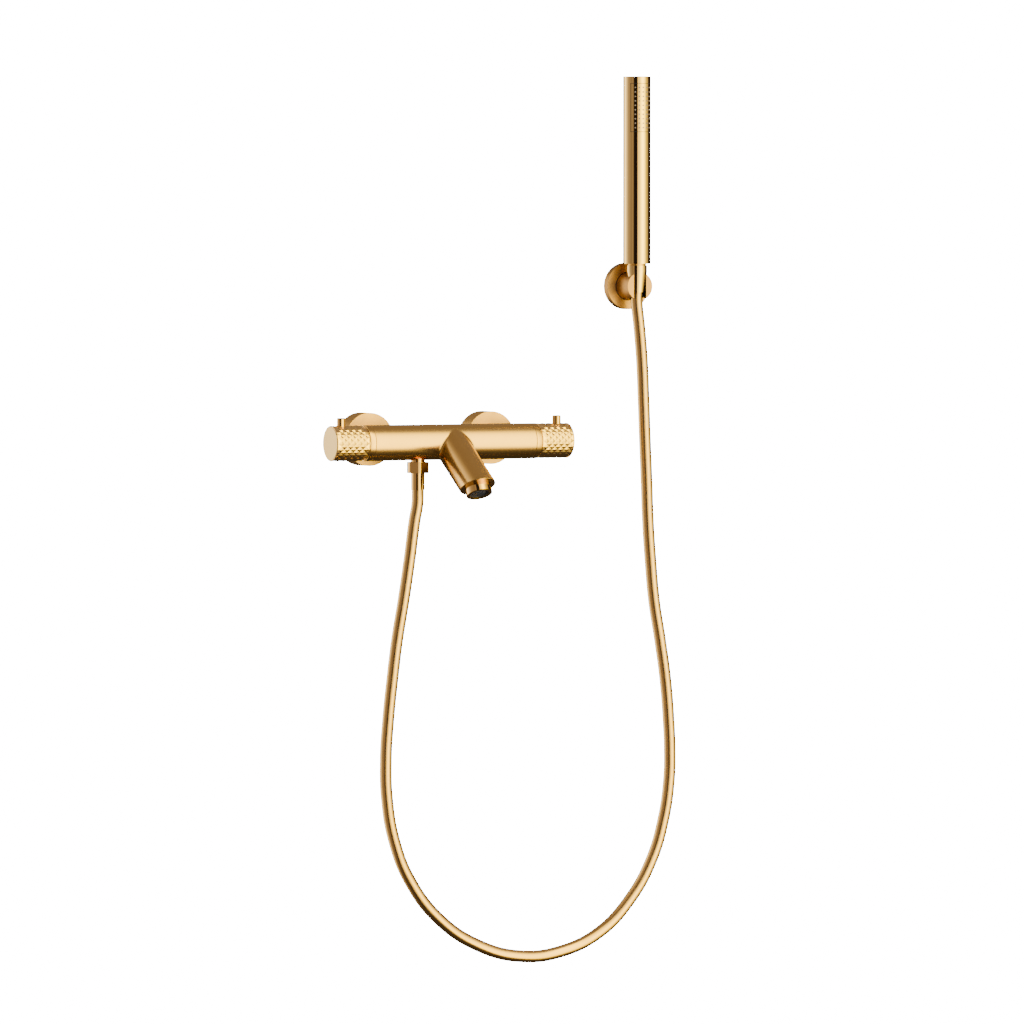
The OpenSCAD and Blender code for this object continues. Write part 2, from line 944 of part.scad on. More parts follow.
module hose_ferrule() {
  color("#d39d55")
    difference() {
      union() {
        rod_z(outlet_x, bar_y, ferrule_shoulder, ferrule_top, washer_r);
        rod_z(outlet_x, bar_y, ferrule_end, ferrule_shoulder + eps, ferrule_r);
      }
      rod_z(outlet_x, bar_y, ferrule_end + 2, ferrule_top + eps, nipple_bore_r);
      rod_z(outlet_x, bar_y, ferrule_end - eps, ferrule_end + 3, nipple_bore_r - 1);
    }
}

module hose() {
  color("#c08a48")
    swept(smooth(hose_route), hose_d / 2, hose_sides, [0, 1, 0],
      hose_ends[0] * -1, hose_ends[1]);
}

// Cone and swivel at the hose's upper end
module swivel_ferrule() {
  color("#c8a05a")
    difference() {
      union() {
        rod_z(holder_x, handset_y, shoulder_z + run_gap, washer_low - run_gap,
          swivel_head_r);
        rod_z(holder_x, handset_y, swivel_low, shoulder_z + eps, swivel_r);
      }
      rod_z(holder_x, handset_y, swivel_low + 2, washer_low, nipple_bore_r);
      rod_z(holder_x, handset_y, swivel_low - eps, swivel_low + 3, nipple_bore_r - 1);
    }
}

module cone_nut() {
  color("#d8a55c")
    difference() {
      union() {
        rod_z(holder_x, handset_y, cone_high, cone_top, cone_high_r);
        translate([holder_x, handset_y, cone_low])
          cylinder(h = cone_high - cone_low, r1 = cone_low_r, r2 = cone_high_r);
      }
      rod_z(holder_x, handset_y, shoulder_z, cone_top + eps, half_inch_r + thread_gap);
      rod_z(holder_x, handset_y, cone_low - eps, shoulder_z + eps, swivel_r + run_gap);
    }
}

module cone_washer() {
  color("#2b2b2b")
    difference() {
      rod_z(holder_x, handset_y, washer_low, washer_low + washer_t, washer_r);
      rod_z(holder_x, handset_y, washer_low - eps, washer_low + washer_t + eps,
        washer_hole_r);
    }
}

module handset_inlet() {
  color("#c8a05a")
    difference() {
      union() {
        rod_z(holder_x, handset_y, handset_low, handset_low + inlet_plug, handset_in_r);
        rod_z(holder_x, handset_y, handset_low - inlet_thread, handset_low + eps,
          half_inch_r);
      }
      rod_z(holder_x, handset_y, handset_low - inlet_thread - eps,
        handset_low + inlet_plug + eps, washer_hole_r);
    }
}

// A wedge of the hand shower that faces the room
module handset_wedge(half, z0, z1) {
  translate([holder_x, handset_y, z0])
    rotate([0, 0, -90])
      wedge(-half, half, 2 * handset_r, z1 - z0);
}

module handset_tube() {
  color("#d3a15c")
    difference() {
      rod_z(holder_x, handset_y, handset_low, handset_high, handset_r);
      rod_z(holder_x, handset_y, handset_low - eps, handset_high - handset_top_t,
        handset_in_r);
      handset_wedge(plate_half, plate_low, plate_top);
    }
}

module handset_core() {
  color("#8c8c88")
    difference() {
      rod_z(holder_x, handset_y, handset_low + inlet_plug, handset_high - handset_top_t,
        core_r);
      rod_z(holder_x, handset_y, handset_low + inlet_plug - eps, plate_top - 2,
        core_bore_r);
      translate([holder_x - 6, handset_y - core_r - 1, plate_low + 4])
        cube([12, core_r + 1, plate_h - 8]);
    }
}

// Nozzles stand radially, in columns about the front
module nozzles(r0, r1, r) {
  for (c = [0 : nozzle_cols - 1])
    for (k = [0 : nozzle_rows - 1])
      translate([holder_x, handset_y, nozzle_first + k * nozzle_pitch])
        rotate([0, 0, (c - (nozzle_cols - 1) / 2) * nozzle_step])
          rotate([90, 0, 0])
            translate([0, 0, r0])
              cylinder(h = r1 - r0, r = r, $fn = 16);
}

module nozzle_mat() {
  color("#e9e2d2") {
    intersection() {
      difference() {
        rod_z(holder_x, handset_y, plate_low - 2, plate_top + 2, handset_in_r);
        rod_z(holder_x, handset_y, plate_low - 3, plate_top + 3, core_r);
      }
      handset_wedge(mat_half, plate_low - 2, plate_top + 2);
    }
    nozzles(handset_in_r - 0.6, handset_r + nozzle_out, nozzle_r);
  }
}

module spray_plate() {
  color("#ddb377")
    difference() {
      intersection() {
        difference() {
          rod_z(holder_x, handset_y, plate_low + plate_gap, plate_top - plate_gap,
            handset_r);
          rod_z(holder_x, handset_y, plate_low, plate_top, handset_in_r);
        }
        handset_wedge(plate_half - 0.6, plate_low, plate_top);
      }
      nozzles(handset_in_r - 1, handset_r + 1, nozzle_r + thread_gap);
    }
}

// Wall bracket
module bracket_flange() {
  color("#c28d4d")
    difference() {
      rod_y(holder_x, holder_z, 0, holder_flange_depth, cover_r);
      rod_y(holder_x, holder_z, -eps, holder_flange_depth - cover_wall,
        cover_r - cover_wall);
      rod_y(holder_x, holder_z, 0, holder_flange_depth + eps, spigot_r + thread_gap);
    }
}

module bracket_plate() {
  color("#9a9a9a")
    difference() {
      union() {
        rod_y(holder_x, holder_z, 0, holder_plate_t, holder_plate_r);
        rod_y(holder_x, holder_z, holder_plate_t - eps, holder_boss_end, holder_boss_r);
      }
      for (s = [-1, 1])
        rod_y(holder_x, holder_z + s * screw_spacing / 2, -eps, holder_plate_t + eps,
          wall_screw_r + 0.2);
    }
}

module bracket_arm() {
  color("#d3a15c")
    difference() {
      union() {
        rod_y(holder_x, holder_z, holder_flange_depth, arm_reach, arm_r);
        rod_y(holder_x, holder_z, holder_plate_t, holder_flange_depth + eps, spigot_r);
      }
      rod_y(holder_x, holder_z, 0, holder_boss_end + 0.2, holder_boss_r + thread_gap / 2);
      rod_z(holder_x, handset_y, holder_z - arm_r - eps, cone_low + eps,
        cone_low_r + seat_gap);
      translate([holder_x, handset_y, cone_low])
        cylinder(h = cone_high - cone_low, r1 = cone_low_r + seat_gap,
          r2 = cone_high_r + seat_gap);
      translate([holder_x - slot_w / 2, -arm_reach - eps, holder_z - arm_r - eps])
        cube([slot_w, seat_back + eps, arm_d + 2 * eps]);
      rod_z(holder_x, grub_y, holder_z - arm_r - eps, holder_z - holder_boss_r + eps,
        grub_r + thread_gap);
    }
}

module bracket_grub_screw() {
  color("#9a9a9a")
    difference() {
      rod_z(holder_x, grub_y, holder_z - arm_r + 1, holder_z - holder_boss_r, grub_r);
      translate([holder_x, grub_y, holder_z - arm_r])
        cylinder(h = 3, r = 1.4, $fn = 6);
    }
}

module bracket_screws() {
  color("#9a9a9a")
    for (s = [-1, 1])
      difference() {
        union() {
          rod_y(holder_x, holder_z + s * screw_spacing / 2, -wall_screw_in,
            holder_plate_t, wall_screw_r);
          rod_y(holder_x, holder_z + s * screw_spacing / 2, holder_plate_t,
            holder_plate_t + 2.4, 3.9);
        }
        translate([holder_x - 2.5, -holder_plate_t - 3, holder_z + s * screw_spacing / 2 - 0.5])
          cube([5, 1.8, 1]);
      }
}

module wall_plugs() {
  color("#c9c9c4")
    for (s = [-1, 1])
      difference() {
        rod_y(holder_x, holder_z + s * screw_spacing / 2, -wall_screw_in - 1, 0, plug_r);
        rod_y(holder_x, holder_z + s * screw_spacing / 2, -wall_screw_in - 2, eps,
          wall_screw_r);
      }
}

mixer_body();
body_collars();
inlet_tail_left();
inlet_tail_right();
check_valves();
inlet_filters();
union_nut_left();
union_nut_right();
s_union_left();
s_union_right();
wall_flange_left();
wall_flange_right();
flow_cartridge();
flow_cartridge_nut();
flow_disc_fixed();
flow_disc_moving();
flow_cartridge_base();
flow_spindle();
flow_stop_ring();
flow_knob();
flow_knob_cap();
flow_knob_screw();
flow_button();
flow_button_spring();
thermostat_cartridge();
thermostat_nut();
thermostat_base();
thermostat_spring();
thermostat_element();
thermostat_shuttle();
temp_spindle();
temp_stop_ring();
temp_knob();
temp_knob_cap();
temp_knob_screw();
temp_button();
temp_button_spring();
aerator_housing();
aerator_insert();
aerator_washer();
outlet_nipple();
hose_nut();
hose_washer();
hose_ferrule();
hose();
swivel_ferrule();
cone_nut();
cone_washer();
handset_inlet();
handset_tube();
handset_core();
nozzle_mat();
spray_plate();
bracket_flange();
bracket_plate();
bracket_arm();
bracket_grub_screw();
bracket_screws();
wall_plugs();
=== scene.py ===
"""Exposed bath and shower mixer with a hand shower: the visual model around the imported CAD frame."""
import math

import bmesh
import bpy
import numpy as np
from mathutils import Matrix, Vector


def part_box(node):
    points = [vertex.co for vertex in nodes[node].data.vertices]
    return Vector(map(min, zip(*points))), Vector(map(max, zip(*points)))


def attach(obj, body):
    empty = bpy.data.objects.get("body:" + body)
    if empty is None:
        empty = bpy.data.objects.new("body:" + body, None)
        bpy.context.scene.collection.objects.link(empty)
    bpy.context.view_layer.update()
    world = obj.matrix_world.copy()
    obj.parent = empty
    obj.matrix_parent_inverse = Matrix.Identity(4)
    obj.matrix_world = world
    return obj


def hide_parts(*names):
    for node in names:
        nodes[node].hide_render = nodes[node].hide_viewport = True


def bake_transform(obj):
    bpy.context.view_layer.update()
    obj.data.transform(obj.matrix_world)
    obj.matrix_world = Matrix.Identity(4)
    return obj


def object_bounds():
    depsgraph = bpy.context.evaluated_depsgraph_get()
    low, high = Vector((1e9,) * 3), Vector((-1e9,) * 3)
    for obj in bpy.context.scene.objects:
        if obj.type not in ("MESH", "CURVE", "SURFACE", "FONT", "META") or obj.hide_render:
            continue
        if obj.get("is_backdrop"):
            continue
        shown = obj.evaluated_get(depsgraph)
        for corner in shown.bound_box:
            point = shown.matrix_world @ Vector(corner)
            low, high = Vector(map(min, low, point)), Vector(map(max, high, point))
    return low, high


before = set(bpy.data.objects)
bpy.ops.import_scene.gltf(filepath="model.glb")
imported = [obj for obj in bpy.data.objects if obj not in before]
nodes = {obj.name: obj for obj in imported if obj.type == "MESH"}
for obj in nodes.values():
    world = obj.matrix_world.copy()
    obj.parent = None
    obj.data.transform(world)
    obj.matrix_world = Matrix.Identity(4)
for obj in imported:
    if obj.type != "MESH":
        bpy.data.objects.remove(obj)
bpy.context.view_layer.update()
MM = 0.001
MERGE = 1e-6  # vertices nearer than this are one

# ---------------------------------------------------------------- camera
SENSOR_MM = 36
LENS_MM = 271.2
CAMERA_AT = (-3.7625, -7.7108, 0.2454)
CAMERA_ALONG = (0.44878, 0.89282, -0.03818)

camera_data = bpy.data.cameras.new("camera")
camera_data.sensor_width = SENSOR_MM
camera_data.lens = LENS_MM
camera_data.clip_end = 60
camera = bpy.data.objects.new("camera", camera_data)
bpy.context.scene.collection.objects.link(camera)
camera.location = CAMERA_AT
camera.rotation_mode = "QUATERNION"
camera.rotation_quaternion = Vector(CAMERA_ALONG).to_track_quat("-Z", "Y")
bpy.context.scene.camera = camera

# ---------------------------------------------------------------- sizes
BAR_Y, BAR_Z = -0.072, -0.0025  # the bar's axis
body_low, body_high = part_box("mixer_body")
collar_low, collar_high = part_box("body_collars")
BAR_R = (collar_high.z - collar_low.z) / 2
SPOUT_R = 19.4 * MM
SPOUT_SLOPE = math.radians(34)  # the spout's axis below level
OUTLET_SLOPE = math.radians(64)  # the way the water leaves, below level
SPOUT_LEN = 84.5 * MM
SPOUT_FILLET = 3.5 * MM
OUTLET_EDGE = 0.5 * MM
BOSS_R = 13.5 * MM
BOSS_END = -0.048
BOSS_FILLET = 3 * MM
BOSS_EDGE = 2 * MM
TRIM_WIDE = 6.5 * MM  # each trim ring, along the bar
TRIM_GAP = 0.08 * MM
INLET_X = 0.075
HOSE_D = 0.0135


# ---------------------------------------------------------------- mesh helpers
def link(name, mesh):
    obj = bpy.data.objects.new(name, mesh)
    bpy.context.scene.collection.objects.link(obj)
    return obj


def finished(name, bm, body, smooth=True, replaces=()):
    """Turns a bmesh into a piece that rides on a body."""
    bmesh.ops.remove_doubles(bm, verts=bm.verts, dist=MERGE)
    bmesh.ops.recalc_face_normals(bm, faces=bm.faces)
    mesh = as_mesh(name, bm)
    for poly in mesh.polygons:
        poly.use_smooth = smooth
    obj = link(name, mesh)
    if replaces:
        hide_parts(*replaces)
    if body:
        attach(obj, body)
    return obj


def applied(obj):
    """Bakes an object's modifiers into its mesh."""
    graph = bpy.context.evaluated_depsgraph_get()
    mesh = bpy.data.meshes.new_from_object(obj.evaluated_get(graph))
    obj.modifiers.clear()
    obj.data = mesh
    return obj


def rod(bm, start, end, radius, segments=96):
    """Adds a closed round bar between two points."""
    start, end = Vector(start), Vector(end)
    along = end - start
    turn = along.to_track_quat("Z", "Y").to_matrix().to_4x4()
    bmesh.ops.create_cone(
        bm,
        cap_ends=True,
        segments=segments,
        radius1=radius,
        radius2=radius,
        depth=along.length,
        matrix=Matrix.Translation((start + end) / 2) @ turn,
    )


def as_mesh(name, bm):
    """Turns a bmesh into a mesh and lets go of it."""
    mesh = bpy.data.meshes.new(name)
    bm.to_mesh(mesh)
    bm.free()
    return mesh


def grown_loop(bm, edges):
    """Extrudes a loop of edges and gives back its new vertices and the new loop."""
    grown = bmesh.ops.extrude_edge_only(bm, edges=edges)["geom"]
    verts = [g for g in grown if isinstance(g, bmesh.types.BMVert)]
    loop = [g for g in grown if isinstance(g, bmesh.types.BMEdge) and all(v in verts for v in g.verts)]
    return verts, loop


def cut_away(obj, name, bm):
    """Cuts the shape of a bmesh out of an object."""
    cutter = link(name, as_mesh(name, bm))
    cut = obj.modifiers.new(name, "BOOLEAN")
    cut.operation = "DIFFERENCE"
    cut.solver = "EXACT"
    cut.object = cutter
    applied(obj)
    bpy.data.objects.remove(cutter)


def cut_flat(bm, at, way):
    """Cuts off what lies past a plane and gives back the edges of the cut."""
    cut = bmesh.ops.bisect_plane(
        bm, geom=bm.verts[:] + bm.edges[:] + bm.faces[:], plane_co=at, plane_no=way, clear_outer=True,
    )
    return [e for e in cut["geom_cut"] if isinstance(e, bmesh.types.BMEdge)]


# ---------------------------------------------------------------- hose
HOSE_ROUTE = [
    (-0.039, -0.072, -0.055), (-0.0395, -0.072, -0.070), (-0.043, -0.0715, -0.090),
    (-0.048, -0.070, -0.130), (-0.055, -0.069, -0.176), (-0.062, -0.067, -0.220),
    (-0.0675, -0.066, -0.264), (-0.072, -0.065, -0.308), (-0.074, -0.063, -0.352),
    (-0.072, -0.062, -0.397), (-0.063, -0.061, -0.442), (-0.043, -0.059, -0.487),
    (-0.006, -0.058, -0.532), (0.045, -0.056, -0.564), (0.095, -0.055, -0.5775),
    (0.146, -0.053, -0.575), (0.197, -0.052, -0.555), (0.236, -0.0505, -0.520),
    (0.264, -0.049, -0.477), (0.280, -0.0475, -0.432), (0.288, -0.046, -0.388),
    (0.2895, -0.045, -0.354), (0.2885, -0.044, -0.320), (0.285, -0.043, -0.275),
    (0.279, -0.0415, -0.230), (0.272, -0.040, -0.185), (0.268, -0.039, -0.140),
    (0.2655, -0.0375, -0.095), (0.2645, -0.036, -0.050), (0.263, -0.035, -0.005),
    (0.262, -0.0335, 0.040), (0.2605, -0.0323, 0.085), (0.2575, -0.031, 0.125),
    (0.255, -0.0302, 0.1502), (0.255, -0.0302, 0.1602),
]


def make_hose():
    """One smooth curve through the route, turned into a tube."""
    curve = bpy.data.curves.new("hose_line", "CURVE")
    curve.dimensions = "3D"
    curve.resolution_u = 10
    curve.twist_mode = "MINIMUM"
    spline = curve.splines.new("BEZIER")
    spline.bezier_points.add(len(HOSE_ROUTE) - 1)
    for point, place in zip(spline.bezier_points, HOSE_ROUTE):
        point.co = place
        point.handle_left_type = point.handle_right_type = "AUTO"
    line = link("hose_line", curve)
    graph = bpy.context.evaluated_depsgraph_get()
    bare = bpy.data.meshes.new_from_object(line.evaluated_get(graph))
    curve.bevel_depth = HOSE_D / 2
    curve.bevel_resolution = 10
    curve.use_fill_caps = True
    graph.update()
    tube = bpy.data.meshes.new_from_object(line.evaluated_get(graph))
    bpy.data.objects.remove(line)
    hose_tube = link("hose_tube", tube)
    for poly in tube.polygons:
        poly.use_smooth = True
    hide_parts("hose")
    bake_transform(hose_tube)
    return hose_tube


hose = make_hose()


# ---------------------------------------------------------------- cast body with its blended spout
def smooth_min(a, b, k):
    """The smaller of two distances, eased over a band of width k."""
    h = np.maximum(k - np.abs(a - b), 0) / k
    return np.minimum(a, b) - h * h * k / 4


def smooth_max(a, b, k):
    return -smooth_min(-a, -b, k)


def half_rod(p, start, along, radius):
    """Distance from a round bar that starts at a point and runs one way."""
    rel = p - start
    t = np.maximum(rel @ along, 0)[:, None]
    return np.linalg.norm(rel - t * along, axis=1) - radius


SPOUT_ALONG = np.array([0, -math.cos(SPOUT_SLOPE), -math.sin(SPOUT_SLOPE)])
OUTLET_ALONG = np.array([0, -math.cos(OUTLET_SLOPE), -math.sin(OUTLET_SLOPE)])
BAR_MID = np.array([0, BAR_Y, BAR_Z])
OUTLET_AT = BAR_MID + SPOUT_ALONG * SPOUT_LEN


def unit(v):
    """Each row of an array made one unit long."""
    return v / np.maximum(np.linalg.norm(v, axis=1), 1e-9)[:, None]


def off_axis(p, start, along):
    """The way out from a half rod's axis, at each point."""
    rel = p - start
    return unit(rel - np.maximum(rel @ along, 0)[:, None] * along)


def fillet(a, way_a, b, way_b, radius):
    """Joins two surfaces with a hollow that fades away where they run side by side."""
    meet = np.clip(1 - (way_a * way_b).sum(1), 0, 1)
    return smooth_min(a, b, np.maximum(radius * meet, 0.01 * MM))


def body_distance(p):
    """Signed distance to the casting's outside: bar, spout and two inlet bosses, filleted where they meet."""
    from_bar = p * np.array([0, 1, 1]) - np.array([0, BAR_Y, BAR_Z])
    bar = np.linalg.norm(from_bar, axis=1) - BAR_R
    bar_way = unit(from_bar)
    spout = half_rod(p, BAR_MID, SPOUT_ALONG, SPOUT_R)
    shape = fillet(bar, bar_way, spout, off_axis(p, BAR_MID, SPOUT_ALONG), SPOUT_FILLET)
    for x in (-INLET_X, INLET_X):
        start, along = np.array([x, BAR_Y, BAR_Z]), np.array([0, 1.0, 0])
        boss = smooth_max(half_rod(p, start, along, BOSS_R), p[:, 1] - BOSS_END, BOSS_EDGE)
        shape = fillet(shape, bar_way, boss, off_axis(p, start, along), BOSS_FILLET)
    return shape


def settled(mesh, rounds=8, step=0.02 * MM):
    """Moves a mesh's vertices onto the casting's true surface, each along the slope of its distance."""
    p = np.empty(len(mesh.vertices) * 3)
    mesh.vertices.foreach_get("co", p)
    p = p.reshape(-1, 3)
    for _ in range(rounds):
        d = body_distance(p)
        slope = np.stack(
            [
                (body_distance(p + step * e) - body_distance(p - step * e)) / (2 * step)
                for e in np.eye(3)
            ],
            axis=1,
        )
        p = p - slope * (d / np.maximum((slope**2).sum(1), 1e-6))[:, None]
    mesh.vertices.foreach_set("co", p.ravel())


def make_body():
    """The casting: rough bars skinned over, settled on the true surface, and cut flat at its three ends."""
    over = 4 * MM
    past_outlet = 20 * MM
    bm = bmesh.new()
    rod(bm, (body_low.x - over, BAR_Y, BAR_Z), (body_high.x + over, BAR_Y, BAR_Z), BAR_R)
    rod(bm, BAR_MID, OUTLET_AT + SPOUT_ALONG * past_outlet, SPOUT_R)
    for x in (-INLET_X, INLET_X):
        rod(bm, (x, BAR_Y, BAR_Z), (x, BOSS_END, BAR_Z), BOSS_R)
    rough = link("cast_body", as_mesh("cast_body", bm))
    skin = rough.modifiers.new("skin", "REMESH")
    skin.mode = "VOXEL"
    skin.voxel_size = 0.85 * MM
    applied(rough)
    settled(rough.data)
    bm = bmesh.new()
    bm.from_mesh(rough.data)
    bpy.data.objects.remove(rough)
    end = collar_high.x - TRIM_WIDE - TRIM_GAP
    for side in (-1, 1):
        rim = cut_flat(bm, (side * end, 0, 0), (side, 0, 0))
        bmesh.ops.contextual_create(bm, geom=rim)
    rim = cut_flat(bm, OUTLET_AT, OUTLET_ALONG)
    bmesh.ops.remove_doubles(bm, verts=list({v for e in rim for v in e.verts}), dist=0.12 * MM)
    rim = [e for e in bm.edges if e.is_boundary]
    bmesh.ops.contextual_create(bm, geom=rim)
    bmesh.ops.bevel(
        bm, geom=rim, offset=OUTLET_EDGE, offset_type="OFFSET", segments=3, profile=0.5,
        affect="EDGES", clamp_overlap=False, material=-1,
    )
    body = finished("mixer_body_cast", bm, "mixer", replaces=["mixer_body"])
    for poly in body.data.polygons:
        if len(poly.vertices) > 20:  # the flat ends
            poly.use_smooth = False
    return body


cast_body = make_body()


# ---------------------------------------------------------------- knurled knobs
KNURL_ROUND = 18  # diamonds round the knob
KNURL_LONG = 5  # diamonds along it
KNURL_DEEP = 0.7 * MM
RIM = 1.1 * MM
KNOB_BORE_R = 18 * MM
BUTTON_HOLE_R = 4.95 * MM


def make_knob(side, cad_node, body, name):
    """A sleeve with a net of four-sided pyramids outside, a plain rim at each end and its button's hole."""
    low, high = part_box(cad_node)
    x0, x1 = (low.x, high.x) if side > 0 else (-high.x, -low.x)
    steps = 2 * KNURL_LONG
    pitch = (x1 - x0 - 2 * RIM) / steps
    bm = bmesh.new()
    ring = bmesh.ops.create_circle(
        bm, segments=2 * KNURL_ROUND, radius=BAR_R, matrix=Matrix.Rotation(math.pi / 2, 4, "Y")
    )["verts"]
    bmesh.ops.translate(bm, verts=ring, vec=(x0 + RIM, 0, 0))
    edges = bm.edges[:]
    for _ in range(steps):
        verts, edges = grown_loop(bm, edges)
        bmesh.ops.translate(bm, verts=verts, vec=(pitch, 0, 0))
    valleys = []
    for v in bm.verts:
        along = round((v.co.x - x0 - RIM) / pitch)
        around = round(math.atan2(v.co.y, v.co.z) / (math.pi / KNURL_ROUND))
        if (along + around) % 2 or along in (0, steps):
            v.co.y *= 1 - KNURL_DEEP / BAR_R
            v.co.z *= 1 - KNURL_DEEP / BAR_R
        if (along + around) % 2:
            valleys.append(v)
    bmesh.ops.connect_verts(bm, verts=valleys)
    inner = [e for e in bm.edges if len(e.link_faces) == 2]
    bmesh.ops.bevel(
        bm, geom=inner, offset=0.1 * MM, offset_type="OFFSET", segments=2, profile=0.5,
        affect="EDGES", clamp_overlap=True, material=-1,
    )
    # The rims and the inner wall close the sleeve: each step is how far along and how much wider
    rim_steps = (
        (0, (BAR_R - 0.15 * MM) / (BAR_R - KNURL_DEEP)), (RIM - 0.6 * MM, 1),
        (0.25 * MM, 0.992), (0.35 * MM, 0.975), (0, KNOB_BORE_R / (BAR_R * 0.96)),
    )
    for way in (-1, 1):
        loop = [e for e in bm.edges if e.is_boundary and (e.verts[0].co.x - (x0 + x1) / 2) * way > 0]
        for along, scale in rim_steps:
            verts, loop = grown_loop(bm, loop)
            bmesh.ops.translate(bm, verts=verts, vec=(way * along, 0, 0))
            bmesh.ops.scale(bm, verts=verts, vec=(1, scale, scale))
    rims = [e for e in bm.edges if e.is_boundary]
    bmesh.ops.bridge_loops(bm, edges=rims)
    bmesh.ops.translate(bm, verts=bm.verts, vec=(0, BAR_Y, BAR_Z))
    if side < 0:
        bmesh.ops.scale(bm, verts=bm.verts, vec=(-1, 1, 1))
        bmesh.ops.reverse_faces(bm, faces=bm.faces)
    knob = finished(name, bm, None, smooth=False)
    button_low, button_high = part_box(cad_node.replace("knob", "button"))
    x = (button_low.x + button_high.x) / 2
    hole = bmesh.new()
    rod(hole, (x, BAR_Y, BAR_Z + 9 * MM), (x, BAR_Y, button_high.z), BUTTON_HOLE_R, 48)
    cut_away(knob, "button_hole", hole)
    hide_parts(cad_node)
    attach(knob, body)
    return knob


flow_sleeve = make_knob(-1, "flow_knob", "flow_control", "flow_knob_sleeve")
temp_sleeve = make_knob(1, "temp_knob", "temp_control", "temp_knob_sleeve")


# ---------------------------------------------------------------- trim, seals and screens
def spun_ring(name, profile, centre, axis, body, steps=96):
    """A ring spun from a closed profile of (distance out, distance along) pairs, in millimetres."""
    axis = Vector(axis).normalized()
    centre = Vector(centre)
    out = axis.orthogonal().normalized()
    bm = bmesh.new()
    verts = [bm.verts.new(centre + out * (r * MM) + axis * (a * MM)) for r, a in profile]
    edges = [bm.edges.new(pair) for pair in zip(verts, verts[1:] + verts[:1])]
    bmesh.ops.spin(
        bm, geom=verts + edges, cent=centre, axis=axis, angle=2 * math.pi, steps=steps,
        use_merge=True, use_duplicate=False,
    )
    return finished(name, bm, body)


def creased(obj, degrees=30):
    """Keeps corners crisp where two faces meet at more than an angle."""
    mesh = obj.data
    bm = bmesh.new()
    bm.from_mesh(mesh)
    for edge in bm.edges:
        if len(edge.link_faces) == 2 and edge.calc_face_angle(0) > math.radians(degrees):
            edge.smooth = False
    bm.to_mesh(mesh)
    bm.free()
    return obj


# Two trim rings, their outer edges eased so that the running gap to each knob shows as a dark line
BAR_R_MM = BAR_R / MM
TRIM_BORE_R_MM, TRIM_WIDE_MM = 18.2, TRIM_WIDE / MM
TRIM_PROFILE = (
    (TRIM_BORE_R_MM, 0), (BAR_R_MM - 0.12, 0), (BAR_R_MM, 0.12), (BAR_R_MM, TRIM_WIDE_MM - 0.6),
    (BAR_R_MM - 0.1, TRIM_WIDE_MM - 0.25), (BAR_R_MM - 0.5, TRIM_WIDE_MM), (TRIM_BORE_R_MM, TRIM_WIDE_MM),
)
trim_rings = []
for side, name in ((-1, "trim_ring_flow_end"), (1, "trim_ring_temp_end")):
    centre = (side * (collar_high.x - TRIM_WIDE), BAR_Y, BAR_Z)
    ring = creased(spun_ring(name, TRIM_PROFILE, centre, (side, 0, 0), "mixer"))
    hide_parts("body_collars")
    trim_rings.append(ring)

# The aerator: a moulded ring with a grid of thin bars over its face
OUTLET = Vector(OUTLET_AT)
FLOW = Vector(OUTLET_ALONG)
SCREEN_OUTER_MM, SCREEN_BORE_MM = 11.4, 9.2
SCREEN_BACK_MM, SCREEN_FACE_MM = -5.9, 8.0  # along the flow, from the spout's mouth
screen = creased(spun_ring(
    "aerator_screen_ring",
    (
        (SCREEN_OUTER_MM, SCREEN_BACK_MM), (SCREEN_OUTER_MM, SCREEN_FACE_MM),
        (SCREEN_BORE_MM + 0.8, SCREEN_FACE_MM), (SCREEN_BORE_MM + 0.4, SCREEN_FACE_MM - 0.5),
        (SCREEN_BORE_MM, SCREEN_FACE_MM - 2.0), (SCREEN_BORE_MM, SCREEN_BACK_MM),
    ),
    OUTLET, FLOW, "mixer"))
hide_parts("aerator_insert")
bm = bmesh.new()
across = FLOW.orthogonal().normalized()
up = FLOW.cross(across)
MESH_PITCH, WIRE = 1.7 * MM, 0.28 * MM
MESH_R = 9.5 * MM  # its ends are held in the ring
for way, other, level in ((across, up, 0), (up, across, 2 * WIRE)):
    for k in range(-5, 6):
        reach = math.sqrt(max(MESH_R**2 - (k * MESH_PITCH) ** 2, 0))
        middle = OUTLET + FLOW * ((SCREEN_FACE_MM - 1.0) * MM - level) + other * (k * MESH_PITCH)
        rod(bm, middle - way * reach, middle + way * reach, WIRE, 8)
mesh_grid = finished("aerator_screen_mesh", bm, "mixer")

# A thin black ring where the bracket's arm meets its wall cover: painted shade, standing for the shadow at
# the arm's root
holder_low, holder_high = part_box("bracket_arm")
HOLDER_X = (holder_low.x + holder_high.x) / 2
HOLDER_Z = (holder_low.z + holder_high.z) / 2
ARM_R_MM = (holder_high.x - holder_low.x) / 2 / MM
cover_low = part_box("bracket_flange")[0]
arm_root_shade_ring = spun_ring(
    "bracket_arm_root_painted_shade",
    (
        (ARM_R_MM - 0.2, -0.3), (ARM_R_MM + 0.45, -0.3), (ARM_R_MM + 0.45, 0.15),
        (ARM_R_MM + 0.25, 0.35), (ARM_R_MM - 0.2, 0.35),
    ),
    (HOLDER_X, cover_low.y, HOLDER_Z), (0, -1, 0), "mixer")

# The bracket's arm, its slot and seat lined in black plastic, whose near-black also paints the shade inside
# the slot
arm_mesh = nodes["bracket_arm"].data.copy()
bm = bmesh.new()
bm.from_mesh(arm_mesh)
bmesh.ops.remove_doubles(bm, verts=bm.verts, dist=MERGE)
SEAT_HALF = 12.5 * MM
SEAT_BACK = -14 * MM
for face in bm.faces:
    at = face.calc_center_median()
    inside = abs(at.x - HOLDER_X) < SEAT_HALF and (at.x - HOLDER_X) * face.normal.x < -1e-5
    face.material_index = 1 if inside and face.normal.y > -0.9 and at.y < SEAT_BACK else 0
arm = finished("bracket_arm_lined_and_shaded", bm, "mixer", smooth=True, replaces=["bracket_arm"])
creased(arm)

